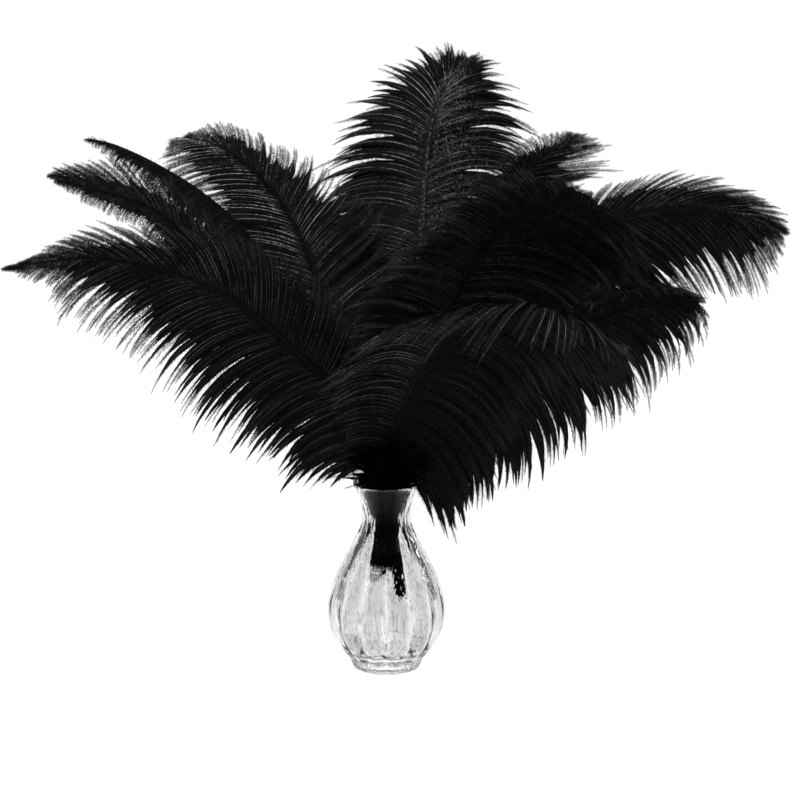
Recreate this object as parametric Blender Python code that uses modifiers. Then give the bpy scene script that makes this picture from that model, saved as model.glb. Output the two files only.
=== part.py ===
"""Ten dyed ostrich plumes standing in a ribbed clear glass bud vase.

Metres, +Z up. The origin is the middle of the vase's foot, on the table. +X is to the right and
+Y away from someone who looks at the front. Each plume is one piece: a bare quill in the neck, a
shaft that curves outwards, and two rows of long soft barbs, here two curved vanes with lock ends.
"""

import math
from dataclasses import dataclass

import bmesh
import bpy
import numpy as np

# The vase, as (radius, height) down its outside and down its bore
VASE_HEIGHT = 0.126
FOOT_RADIUS = 0.022
OUTSIDE = (
    (0.0200, VASE_HEIGHT), (0.0215, 0.1240), (0.0196, 0.1190), (0.0173, 0.1130),
    (0.0155, 0.1015), (0.0180, 0.0910), (0.0227, 0.0823), (0.0297, 0.0689), (0.0352, 0.0550),
    (0.0384, 0.0410), (0.0368, 0.0270), (0.0315, 0.0162), (0.0246, 0.0067), (FOOT_RADIUS, 0.0),
)
BORE = (
    (0.0184, 0.1248), (0.0146, 0.1135), (0.0120, 0.1015), (0.0151, 0.0908), (0.0199, 0.0820),
    (0.0270, 0.0689), (0.0325, 0.0550), (0.0357, 0.0410), (0.0338, 0.0270), (0.0276, 0.0160),
    (0.0170, 0.0100),
)
FLOOR_HEIGHT = 0.0088
RIBS = 14
STEPS_PER_RIB = 4
RIB_DEPTH = 0.0012
RIBS_FADE_FROM, RIBS_FADE_TO = 0.085, 0.110
FOOT_RIM = 0.006
SKIN_CHECK = 0.0005
SHARP_EDGE = math.radians(40)

# The quills stand upright in a ring in the neck and are as thick as this at the mouth and the tip
RING_RADIUS = 0.0076
QUILL_RADIUS = 0.0014
SHAFT_TIP_RADIUS = 0.0004
NECK_HEIGHT = 0.100
UPRIGHT_TO = 0.118

# Barb lengths and sweeps are given at these shares of the vane. Barbs lean back from the face, and
# a plume's droop is how steeply a barb of this length bends down at its end
PLACES = (0.0, 0.35, 0.75, 1.0)
CAMBER = math.radians(8)
DROOP_LENGTH = 0.08

# A vane is cut across at these shares of a barb's length, and is as thick there as this
SHARES = (1.0, 0.72, 0.38, 0.0)
HALF_THICKNESS = (0.0, 0.0003, 0.0004, 0.0006)
FULLY_FLAT_WIDTH = 8 * QUILL_RADIUS
QUILL_RINGS = 6
VANE_RINGS = 24
NOTCH = 0.84
BARB_STEPS = 12
ROUTE_STEPS = 400

GLASS_COLOUR = (0.93, 0.95, 0.95, 1.0)
FEATHER_COLOUR = (0.012, 0.012, 0.013, 1.0)


@dataclass
class Plume:
    """A plume's shaft above the mouth, and its barbs at four places up the vane.

    angle: where the quill stands in the neck, in degrees from +X. lowest: height of the quill's
    end. start: distance up the shaft from the mouth to the first barb. left and right: lengths of
    the barbs on that side of the plume's face, as it shows with its tip up. Sweeps are the barbs'
    angles to the shaft. roll: degrees that the face turns at the start and the tip. droop: how
    far the barbs of either side bend down. lean: how far in X and Y the quill's end stands out of
    the ring.
    """

    name: str
    angle: float
    lowest: float
    start: float
    route: tuple
    left: tuple
    right: tuple
    left_sweep: tuple = (78, 66, 52, 20)
    right_sweep: tuple = (78, 66, 52, 20)
    roll: tuple = (0, 0)
    droop: tuple = (0.6, 0.6)
    lean: tuple = (0, 0)


PLUMES = (
    Plume(
        "feather_left_low", 226, 0.072, 0.012,
        ((-0.024, -0.026, 0.182), (-0.056, -0.050, 0.224), (-0.093, -0.070, 0.261),
         (-0.131, -0.085, 0.282), (-0.170, -0.096, 0.293), (-0.200, -0.101, 0.293),
         (-0.226, -0.103, 0.289)),
        left=(0.072, 0.085, 0.058, 0.010), right=(0.018, 0.048, 0.046, 0.010),
        left_sweep=(102, 80, 40, 6), right_sweep=(60, 58, 40, 8),
    ),
    Plume(
        "feather_left_mid", 190, 0.074, 0.060,
        ((-0.026, -0.009, 0.174), (-0.058, -0.016, 0.217), (-0.091, -0.024, 0.255),
         (-0.119, -0.030, 0.287), (-0.140, -0.032, 0.307), (-0.162, -0.034, 0.317),
         (-0.183, -0.036, 0.324), (-0.200, -0.037, 0.329)),
        left=(0.012, 0.042, 0.013, 0.004), right=(0.010, 0.034, 0.052, 0.012),
        left_sweep=(78, 66, 40, 10), right_sweep=(70, 52, 38, 6), roll=(84, 40), droop=(5.0, 0.4),
    ),
    Plume(
        "feather_left_high", 154, 0.071, 0.066,
        ((-0.023, 0.008, 0.170), (-0.053, 0.017, 0.215), (-0.074, 0.024, 0.260),
         (-0.093, 0.029, 0.286), (-0.119, 0.033, 0.308), (-0.147, 0.036, 0.325),
         (-0.171, 0.038, 0.336), (-0.187, 0.039, 0.340)),
        left=(0.012, 0.038, 0.022, 0.006), right=(0.010, 0.020, 0.014, 0.004),
        left_sweep=(78, 66, 46, 8), right_sweep=(70, 50, 30, 6), roll=(86, 92), droop=(7.0, 7.0),
    ),
    Plume(
        "feather_upper_left", 118, 0.073, 0.040,
        ((-0.017, 0.026, 0.168), (-0.035, 0.046, 0.213), (-0.045, 0.057, 0.241),
         (-0.055, 0.066, 0.267), (-0.067, 0.073, 0.290), (-0.081, 0.077, 0.307),
         (-0.098, 0.080, 0.321), (-0.113, 0.082, 0.329), (-0.126, 0.083, 0.332)),
        left=(0.030, 0.080, 0.058, 0.020), right=(0.020, 0.060, 0.034, 0.008),
        left_sweep=(72, 56, 42, 10), right_sweep=(72, 64, 54, 10), roll=(0, 14),
    ),
    Plume(
        "feather_top", 82, 0.071, 0.035,
        ((0.009, 0.040, 0.168), (0.017, 0.078, 0.218), (0.023, 0.112, 0.268),
         (0.025, 0.130, 0.294), (0.027, 0.141, 0.312), (0.030, 0.151, 0.330),
         (0.035, 0.157, 0.344), (0.040, 0.161, 0.355), (0.047, 0.163, 0.362)),
        left=(0.030, 0.100, 0.070, 0.017), right=(0.030, 0.080, 0.092, 0.021),
        left_sweep=(80, 84, 84, 24), right_sweep=(80, 76, 76, 22),
    ),
    Plume(
        "feather_upper_right", 46, 0.075, 0.050,
        ((0.018, 0.024, 0.172), (0.041, 0.048, 0.226), (0.059, 0.062, 0.265),
         (0.074, 0.074, 0.294), (0.087, 0.081, 0.306), (0.101, 0.088, 0.318),
         (0.112, 0.093, 0.325), (0.118, 0.096, 0.329)),
        left=(0.025, 0.042, 0.020, 0.006), right=(0.030, 0.080, 0.062, 0.014),
        left_sweep=(96, 104, 84, 14), right_sweep=(78, 58, 38, 8), roll=(5, 25),
    ),
    Plume(
        "feather_right", 10, 0.072, 0.030,
        ((0.028, 0.005, 0.171), (0.067, 0.010, 0.223), (0.110, 0.015, 0.269),
         (0.141, 0.018, 0.290), (0.168, 0.020, 0.298), (0.193, 0.022, 0.299),
         (0.216, 0.023, 0.296), (0.233, 0.024, 0.291), (0.244, 0.024, 0.286)),
        left=(0.020, 0.026, 0.052, 0.012), right=(0.030, 0.098, 0.078, 0.012),
        left_sweep=(60, 40, 26, 6), right_sweep=(88, 70, 46, 10),
    ),
    Plume(
        "feather_centre", 334, 0.074, 0.025,
        ((0.020, -0.014, 0.182), (0.038, -0.026, 0.238), (0.049, -0.034, 0.267),
         (0.063, -0.043, 0.292), (0.082, -0.053, 0.310), (0.104, -0.064, 0.319),
         (0.123, -0.073, 0.321)),
        left=(0.030, 0.064, 0.030, 0.010), right=(0.035, 0.085, 0.092, 0.034),
        left_sweep=(80, 84, 100, 60), right_sweep=(80, 74, 58, 24),
    ),
    Plume(
        "feather_front", 262, 0.073, 0.022,
        ((0.004, -0.028, 0.161), (0.011, -0.046, 0.187), (0.021, -0.069, 0.216),
         (0.039, -0.093, 0.243), (0.062, -0.117, 0.260), (0.087, -0.138, 0.269),
         (0.109, -0.152, 0.269), (0.125, -0.160, 0.264)),
        left=(0.030, 0.082, 0.082, 0.028), right=(0.040, 0.084, 0.088, 0.030),
        left_sweep=(78, 86, 72, 20), right_sweep=(78, 66, 50, 14), roll=(0, 18), droop=(1.5, 1.5),
    ),
    Plume(
        "feather_right_low", 298, 0.048, 0.014,
        ((0.025, -0.017, 0.166), (0.061, -0.037, 0.199), (0.100, -0.058, 0.228),
         (0.136, -0.075, 0.253), (0.162, -0.088, 0.265), (0.180, -0.096, 0.267)),
        left=(0.014, 0.034, 0.044, 0.014), right=(0.078, 0.084, 0.072, 0.020),
        left_sweep=(60, 48, 32, 8), right_sweep=(116, 80, 52, 10), droop=(1.5, 1.5),
        lean=(0.005, -0.002),
    ),
)


def clear_scene():
    for obj in list(bpy.data.objects):
        bpy.data.objects.remove(obj, do_unlink=True)


def parts_collection(name):
    collection = bpy.data.collections.new(name)
    bpy.context.scene.collection.children.link(collection)
    return collection


def plain_material(name, colour, roughness, transmission=0.0):
    material = bpy.data.materials.new(name)
    material.use_nodes = True
    shader = material.node_tree.nodes["Principled BSDF"]
    shader.inputs["Base Color"].default_value = colour
    shader.inputs["Roughness"].default_value = roughness
    shader.inputs["Metallic"].default_value = 0.0
    shader.inputs["Transmission Weight"].default_value = transmission
    return material


def finished_object(mesh, name, material, collection):
    mesh.materials.append(material)
    obj = bpy.data.objects.new(name, mesh)
    collection.objects.link(obj)
    return obj


# ---------------------------------------------------------------- vase


def vase_profile():
    """The half outline from the bore's floor up the inside, over the lip and down the outside."""
    inside = [(0.0, FLOOR_HEIGHT)] + list(reversed(BORE))
    return inside + list(OUTSIDE) + [(0.0, 0.0)]


def rib_share(height):
    """1 on the ribbed body, falling to 0 up the neck and at the foot's very edge."""
    top = np.clip((RIBS_FADE_TO - height) / (RIBS_FADE_TO - RIBS_FADE_FROM), 0.0, 1.0)
    return top * np.clip(height / FOOT_RIM, 0.0, 1.0)


def press_ribs(mesh):
    """Sinks the valleys between the rounded ribs into the outside of the turned body."""
    heights = [height for _, height in reversed(OUTSIDE)]
    radii = [radius for radius, _ in reversed(OUTSIDE)]
    for vertex in mesh.vertices:
        x, y, z = vertex.co
        radius = math.hypot(x, y)
        if radius < np.interp(z, heights, radii) - SKIN_CHECK:
            continue
        lobe = abs(math.cos(RIBS * math.atan2(y, x) / 2))
        scale = 1 - RIB_DEPTH * rib_share(z) * (1 - lobe) / radius
        vertex.co = (x * scale, y * scale, z)


def make_vase(collection, material):
    profile = bpy.data.meshes.new("vase_outline")
    points = [(radius, 0.0, height) for radius, height in vase_profile()]
    profile.from_pydata(points, [(i, i + 1) for i in range(len(points) - 1)], [])
    turned = bpy.data.objects.new("vase_outline", profile)
    collection.objects.link(turned)
    screw = turned.modifiers.new("turn", "SCREW")
    screw.steps = screw.render_steps = RIBS * STEPS_PER_RIB
    screw.use_merge_vertices = True
    screw.merge_threshold = 0.00001
    evaluated = turned.evaluated_get(bpy.context.evaluated_depsgraph_get())
    mesh = bpy.data.meshes.new_from_object(evaluated)
    mesh.name = "vase"
    bpy.data.objects.remove(turned, do_unlink=True)
    work = bmesh.new()
    work.from_mesh(mesh)
    bmesh.ops.remove_doubles(work, verts=work.verts, dist=0.00001)
    work.to_mesh(mesh)
    work.free()
    press_ribs(mesh)
    mesh.shade_smooth()
    mesh.set_sharp_from_angle(angle=SHARP_EDGE)
    return finished_object(mesh, "vase", material, collection)


# ---------------------------------------------------------------- plumes


def unit(vectors):
    return vectors / np.linalg.norm(vectors, axis=-1, keepdims=True)


def smooth_route(points):
    """Points a small step apart on one smooth curve through the route's own points."""
    points = np.array(points, float)
    ends = np.vstack([2 * points[0] - points[1], points, 2 * points[-1] - points[-2]])
    curve = []
    for a, b, c, d in zip(ends, ends[1:], ends[2:], ends[3:]):
        t = np.linspace(0.0, 1.0, ROUTE_STEPS // len(points), endpoint=False)[:, None]
        curve.append(b + 0.5 * t * (c - a + t * (2 * a - 5 * b + 4 * c - d + t * (3 * (b - c) + d - a))))
    return np.vstack(curve + [points[-1:]])


def lengths_along(curve):
    return np.concatenate([[0.0], np.cumsum(np.linalg.norm(np.diff(curve, axis=0), axis=1))])


def at_shares(curve, shares):
    """Places at these shares of the curve's length."""
    along = lengths_along(curve)
    return np.column_stack([np.interp(shares, along / along[-1], curve[:, i]) for i in range(3)])


def shaft_frames(places, roll):
    """Tangent, rightward and facing direction at each place, carried along without twist, then rolled."""
    tangents = unit(np.gradient(places, axis=0))
    facing = [np.array((0.0, -1.0, 0.0))]
    for tangent in tangents:
        facing.append(unit(facing[-1] - tangent * (facing[-1] @ tangent)))
    facing = np.array(facing[1:])
    rightward = np.cross(tangents, facing)
    turn = np.radians(np.interp(np.linspace(0, 1, len(places)), (0, 1), roll))[:, None]
    rolled_right = rightward * np.cos(turn) - facing * np.sin(turn)
    rolled_face = facing * np.cos(turn) + rightward * np.sin(turn)
    return tangents, rolled_right, rolled_face


def barb_points(root, direction, length, droop):
    """Places on a barb at the cutting shares, as it leaves the shaft and bends under its weight."""
    point = np.array(root, float)
    path = [point.copy()]
    for step in range(BARB_STEPS):
        fall = droop * (length / DROOP_LENGTH) * (step + 0.5) / BARB_STEPS
        heading = unit(direction - np.array((0.0, 0.0, fall)))
        point = point + heading * length / BARB_STEPS
        path.append(point.copy())
    return at_shares(np.array(path), SHARES) if length > 0 else np.repeat([root], len(SHARES), axis=0)


def at_vane(values, share):
    """Length or sweep at this share of the vane, which ends in a round tip."""
    past = max(0.0, (share - PLACES[2]) / (1 - PLACES[2]))
    if past == 0:
        return float(np.interp(share, PLACES, values))
    return values[3] + (values[2] - values[3]) * (1 - past ** 2)


def plume_middle_surface(plume):
    """Rows of seven points across the plume: left barb, shaft, right barb, for every ring up it."""
    quill = math.radians(plume.angle)
    x, y = RING_RADIUS * math.cos(quill), RING_RADIUS * math.sin(quill)
    end = (x + plume.lean[0], y + plume.lean[1], plume.lowest)
    upright = [end, (x, y, NECK_HEIGHT), (x, y, UPRIGHT_TO)]
    curve = smooth_route(upright + list(plume.route))
    along = lengths_along(curve)
    lower = slice(0, len(curve) // 2)
    mouth = np.interp(VASE_HEIGHT, curve[lower, 2], along[lower])
    bare = (mouth + plume.start) / along[-1]
    shares = np.concatenate([
        np.linspace(0.0, bare, QUILL_RINGS, endpoint=False),
        np.linspace(bare, 1.0, VANE_RINGS),
    ])
    places = at_shares(curve, shares)
    tangents, rightward, facing = shaft_frames(places, plume.roll)
    both_sides = (
        (-1, plume.left, plume.left_sweep, plume.droop[0]),
        (1, plume.right, plume.right_sweep, plume.droop[1]),
    )
    rows = []
    for ring, share in enumerate(shares):
        vane = max(0.0, (share - bare) / (1 - bare))
        lock = 1.0 if (ring - QUILL_RINGS) % 2 else NOTCH
        sides = []
        for side, lengths, sweeps, droop in both_sides:
            length = lock * at_vane(lengths, vane) if vane > 0 else 0.0
            sweep = math.radians(at_vane(sweeps, vane))
            outward = rightward[ring] * side * math.cos(CAMBER) - facing[ring] * math.sin(CAMBER)
            heading = tangents[ring] * math.cos(sweep) + outward * math.sin(sweep)
            sides.append(barb_points(places[ring], heading, length, droop))
        rows.append(np.vstack([sides[0], sides[1][-2::-1]]))
    return np.array(rows), shares, tangents, rightward, facing


def plume_rings(plume):
    """Twelve-sided rings: round on the quill, flat and wide on the vane."""
    rows, shares, tangents, rightward, facing = plume_middle_surface(plume)
    along = np.gradient(rows, axis=0)
    across = np.gradient(rows, axis=1)
    normals = np.cross(across, along)
    width = np.linalg.norm(rows[:, 0] - rows[:, -1], axis=1)
    half = np.array(HALF_THICKNESS + HALF_THICKNESS[-2::-1])
    angles = np.radians(np.linspace(180.0, 0.0, 7))
    rings = []
    for i, row in enumerate(rows):
        radius = QUILL_RADIUS + (SHAFT_TIP_RADIUS - QUILL_RADIUS) * shares[i]
        flat = min(1.0, width[i] / FULLY_FLAT_WIDTH)
        face = facing[i]
        if flat > 0:
            sizes = np.linalg.norm(normals[i], axis=1, keepdims=True)
            face = np.where(sizes > 0, normals[i] / np.maximum(sizes, 1e-12), facing[i])
            face = unit(face * flat + facing[i] * (1 - flat))
        thick = flat * half + (1 - flat) * radius * np.sin(angles)
        round_part = np.outer((1 - flat) * radius * np.cos(angles), rightward[i])
        thick[3] = max(radius, half[3])
        upper = row + round_part + face * thick[:, None]
        lower = row + round_part - face * thick[:, None]
        rings.append(np.vstack([upper, lower[5:0:-1]]))
    tip = rows[-1, 3] + tangents[-1] * 0.5 * (plume.left[-1] + plume.right[-1])
    return rings, tip


def make_plume(plume, collection, material):
    rings, tip = plume_rings(plume)
    work = bmesh.new()
    loops = [[work.verts.new(point) for point in ring] for ring in rings]
    around = len(loops[0])
    for low, high in zip(loops, loops[1:]):
        for i in range(around):
            j = (i + 1) % around
            work.faces.new((low[i], high[i], high[j], low[j]))
    work.faces.new(loops[0])
    end = work.verts.new(tip)
    for i in range(around):
        work.faces.new((loops[-1][i], end, loops[-1][(i + 1) % around]))
    bmesh.ops.triangulate(work, faces=work.faces)
    bmesh.ops.recalc_face_normals(work, faces=work.faces)
    mesh = bpy.data.meshes.new(plume.name)
    work.to_mesh(mesh)
    work.free()
    mesh.shade_smooth()
    return finished_object(mesh, plume.name, material, collection)


def main():
    clear_scene()
    collection = parts_collection("ostrich_feathers_in_vase")
    glass = plain_material("clear_glass", GLASS_COLOUR, 0.03, transmission=1.0)
    feather = plain_material("black_feather", FEATHER_COLOUR, 0.55)
    make_vase(collection, glass)
    for plume in PLUMES:
        make_plume(plume, collection, feather)


main()
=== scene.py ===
"""Ten black ostrich plumes in a ribbed clear glass bud vase, each barb and barbule in its place.

Metres, +Z up. The origin is the middle of the vase's foot. +X is right and +Y away from the camera.
"""

import math
from dataclasses import dataclass

import bpy
import numpy as np
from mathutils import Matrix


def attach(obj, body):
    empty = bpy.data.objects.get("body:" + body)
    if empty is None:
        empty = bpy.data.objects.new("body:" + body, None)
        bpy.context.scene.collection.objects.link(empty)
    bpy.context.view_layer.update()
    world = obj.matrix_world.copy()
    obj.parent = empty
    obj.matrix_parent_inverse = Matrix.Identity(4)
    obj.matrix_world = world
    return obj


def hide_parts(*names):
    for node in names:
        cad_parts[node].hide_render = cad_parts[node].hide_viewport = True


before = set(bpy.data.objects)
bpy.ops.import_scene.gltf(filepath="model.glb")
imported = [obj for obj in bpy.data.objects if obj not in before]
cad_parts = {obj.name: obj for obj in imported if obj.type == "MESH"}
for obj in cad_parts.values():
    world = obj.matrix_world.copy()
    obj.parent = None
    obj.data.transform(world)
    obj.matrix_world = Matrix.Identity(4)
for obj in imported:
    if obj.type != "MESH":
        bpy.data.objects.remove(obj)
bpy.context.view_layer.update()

# ---------------------------------------------------------------- sizes

# The vase, as (radius, height) down its outside and down its bore
VASE_HEIGHT = 0.126
OUTSIDE = (
    (0.0200, VASE_HEIGHT), (0.0213, 0.1250), (0.0215, 0.1240), (0.0210, 0.1222), (0.0196, 0.1190),
    (0.0173, 0.1130), (0.0157, 0.1065), (0.0155, 0.1015), (0.0163, 0.0962), (0.0180, 0.0910),
    (0.0227, 0.0823), (0.0297, 0.0689), (0.0333, 0.0615), (0.0352, 0.0550), (0.0370, 0.0485),
    (0.0382, 0.0410), (0.0382, 0.0340), (0.0368, 0.0270), (0.0345, 0.0212), (0.0315, 0.0162),
    (0.0281, 0.0115), (0.0262, 0.0092), (0.0246, 0.0067), (0.0234, 0.0040), (0.0228, 0.0018),
    (0.0220, 0.0002), (0.0212, 0.0),
)
BORE = (
    (0.0192, 0.1257), (0.0184, 0.1248), (0.0164, 0.1198), (0.0146, 0.1135), (0.0126, 0.1065),
    (0.0120, 0.1015), (0.0129, 0.0960), (0.0151, 0.0908), (0.0199, 0.0820), (0.0270, 0.0689),
    (0.0325, 0.0550), (0.0350, 0.0480), (0.0357, 0.0410), (0.0352, 0.0335), (0.0338, 0.0270),
    (0.0312, 0.0212), (0.0276, 0.0160), (0.0228, 0.0122), (0.0170, 0.0100), (0.0085, 0.0091),
)
FLOOR_HEIGHT = 0.0088
SPIN_STEPS = 126
RIBS = 14
RIB_DEPTH = 0.0012
RIBS_FADE_FROM, RIBS_FADE_TO = 0.085, 0.112
SCALLOP_TOP, SCALLOP_DROP, SCALLOP_EDGE = 0.0088, 0.0012, 0.0005
FOOT_RECESS = 0.0005
FOOT_RIB_SHARE = 0.25
FLUTES = 42
FLUTE_DEPTH = 0.0005
FLUTES_FADE_TO = 0.002
SKIN_CHECK = 0.0006

# Quills and shafts
RING_RADIUS = 0.0076
QUILL_RADIUS = 0.0014
SHAFT_TIP_RADIUS = 0.0003
NECK_HEIGHT = 0.100
UPRIGHT_TO = 0.118
SHAFT_SIDES = 8
POINT_LENGTHS, POINT_SHARES = (0.0, 0.002, 0.007, 0.016), (0.15, 0.3, 0.5, 0.85)
SHAFT_STEPS = 90
ROUTE_STEPS = 400
QUILL_RINGS = 6
VANE_RINGS = 24

# Barbs: places up the vane where lengths and sweeps are given, and how they bend
PLACES = (0.0, 0.35, 0.75, 1.0)
CAMBER = 8.0
DROOP_LENGTH = 0.08
SHORTEST_BARB = 0.006
BARB_STEPS = 10
BARB_SIDES = 3
BARB_SPACING = 0.0018
BARB_CROWDING = 1.25
BARB_RADIUS = 0.00032
BARB_TIP_RADIUS = 0.00006
LOCK_FROM = 0.3
SEED = 100

# Webs: the close part of the fluff. Their width along a barb is given as (share, width)
WEB_WIDTH = 0.0023
WEB_RAGGED = 0.10
WEB_WIDTHS = ((0.0, 1.0), (0.62, 1.0), (0.83, 0.6), (0.94, 0.25), (1.0, 0.05))
WEB_SLOPE = 0.3

# Barbules: the loose part of the fluff, on both sides of a barb. Their angles to the barb are
# given as (share, degrees). Their lengths shrink from REACH_FALL before the bare end
BARBULE_SPACING = 0.00058
BARBULE_CROWDING = 0.6
BARBULE_LENGTH = 0.0060
BARBULE_WIDTH = 0.00050
BARBULE_WIDTHS = ((0.0, 1.25), (0.6, 1.0), (1.0, 0.5))
BARBULE_SPREAD = 0.45
BARBULE_ANGLES = ((0.0, 62), (0.5, 50), (0.9, 38), (1.0, 22))
REACH_FALL, LEAST_REACH = 0.5, 0.5
BARE_FROM = 0.93
WOOL_SPACING = 0.00025
WOOL_LENGTH = 0.0045
WOOL_HEIGHT = 0.0004

# Which finish a triangle has
SHAFT_KIND, BARB_KIND, FLUFF_KIND, WOOL_KIND = range(4)

# Gloss and painted highlight of the barbs up the vane and along a barb, and the painted light of
# the fluff along a barb, lighter towards its end, as (share, light)
VANE_GLOSS_AND_PAINTED_HIGHLIGHT = ((0.0, 0.5), (0.5, 1.0), (1.0, 1.6))
BARB_GLOSS_AND_PAINTED_HIGHLIGHT = ((0.0, 0.05), (0.12, 0.35), (0.3, 1.0), (0.75, 1.0), (1.0, 0.5))
END_PAINTED_LIGHT = ((0.0, 0.1), (0.15, 0.4), (0.7, 0.7), (1.0, 4.5))

# Down on the quill, inside the neck, in the lip and just above the mouth
DOWN_FROM = 0.074
NECK_DOWN, NECK_DOWN_LENGTH = 34, 0.015
RIM_DOWN, RIM_DOWN_FROM, RIM_DOWN_LENGTH = 110, 0.106, 0.015
MOUTH_DOWN, MOUTH_DOWN_LENGTH, MOUTH_DOWN_PAST_BARE = 36, 0.026, 0.03
DOWN_RADIUS = BARB_RADIUS * 0.6
DOWN_DROOP = 0.5
DOWN_WEB_ENDS = 0.75
# How much painted light the down's fluff takes
DOWN_PAINTED_LIGHT = 0.1
# How far out the down reaches in the neck, as (height, radius)
DOWN_REACH = ((0.055, 0.0150), (0.085, 0.0112), (0.1, 0.0092), (0.106, 0.0112), (0.1257, 0.0184))

CAMERA_PITCH = 15.0
CAMERA_DISTANCE = 2.4
CAMERA_AIM = (0.008775, 0.172575)
CAMERA_LENS = 166.0

# The strip lights, as (degrees round the front of the vase to the right, power)
STRIPS = ((-112, 3), (-72, 5), (-42, 3), (48, 2), (84, 3), (118, 2))
STRIP_DISTANCE, STRIP_HEIGHT = 1.6, 0.95
STRIP_AIM, STRIP_SIZE = (0, 0, 0.15), (0.05, 1.3)

# The broad lights, as (name, place, aim, size, power)
PANELS = (
    ("backdrop", (0.0, 3.0, 0.85), (0, 0, 0.85), (4.0, 1.7), 19),
    ("top", (0.0, 0.7, 1.8), (0, 0, 0.25), (1.4, 0.7), 8),
    ("key", (-0.25, -1.0, 1.7), (0, 0, 0.22), (0.5, 0.3), 42),
)
STUDIO_GREY = 0.12
STUDIO_FLOOR_PLACE, STUDIO_FLOOR_SIZE = (0, 2.0, -0.0002), (3.0, 9.0, 1.0)


@dataclass
class Plume:
    """A plume's shaft above the mouth, and its barbs at four places up the vane.

    angle: where the quill stands in the neck, in degrees from +X.
    lowest: height of the quill's end.
    start: distance up the shaft from the mouth to the first barb.
    route: the points that the shaft runs through above the mouth.
    left, right: lengths of the barbs on that side of the plume's face, as it shows with its tip up.
    left_sweep, right_sweep: the barbs' angles to the shaft.
    roll: degrees that the face turns at the start and the tip.
    droop: how far the barbs of either side bend down.
    lean: how far in X and Y the quill's end stands out of the ring.
    curl: how far the barbs' ends curl towards the plume's tip, or back from it.
    wool: the share of the barbs next to the shaft that is woolly.
    hair: the share of a barb after which it is bare, on the left, on the right and at the tip.
    arch: how far the barbs of either side start towards the tip and end back from it.
    gloss_and_painted_highlight: how glossy the barbs of either side are, and how much highlight is
    painted into their colour.
    fluff_painted_light: how much light is painted into the dull fluff of this plume.
    tip_shape: how the barbs shorten to the tip, high for a round end and low for a sharp one.
    lock: how closely the barbs of a lock are drawn together, and the fewest and most in one.
    """

    name: str
    angle: float
    lowest: float
    start: float
    route: tuple
    left: tuple
    right: tuple
    left_sweep: tuple = (78, 66, 52, 20)
    right_sweep: tuple = (78, 66, 52, 20)
    roll: tuple = (0, 0)
    droop: tuple = (0.6, 0.6)
    lean: tuple = (0, 0)
    curl: tuple = (0.0, 0.0)
    wool: tuple = (0.0, 0.0)
    hair: tuple = (0.88, 0.88, 0.7)
    arch: tuple = (0.35, 0.35)
    gloss_and_painted_highlight: tuple = (0.5, 0.5)
    fluff_painted_light: float = 0.5
    tip_shape: float = 2.0
    lock: tuple = (0.15, 1, 3)


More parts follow.
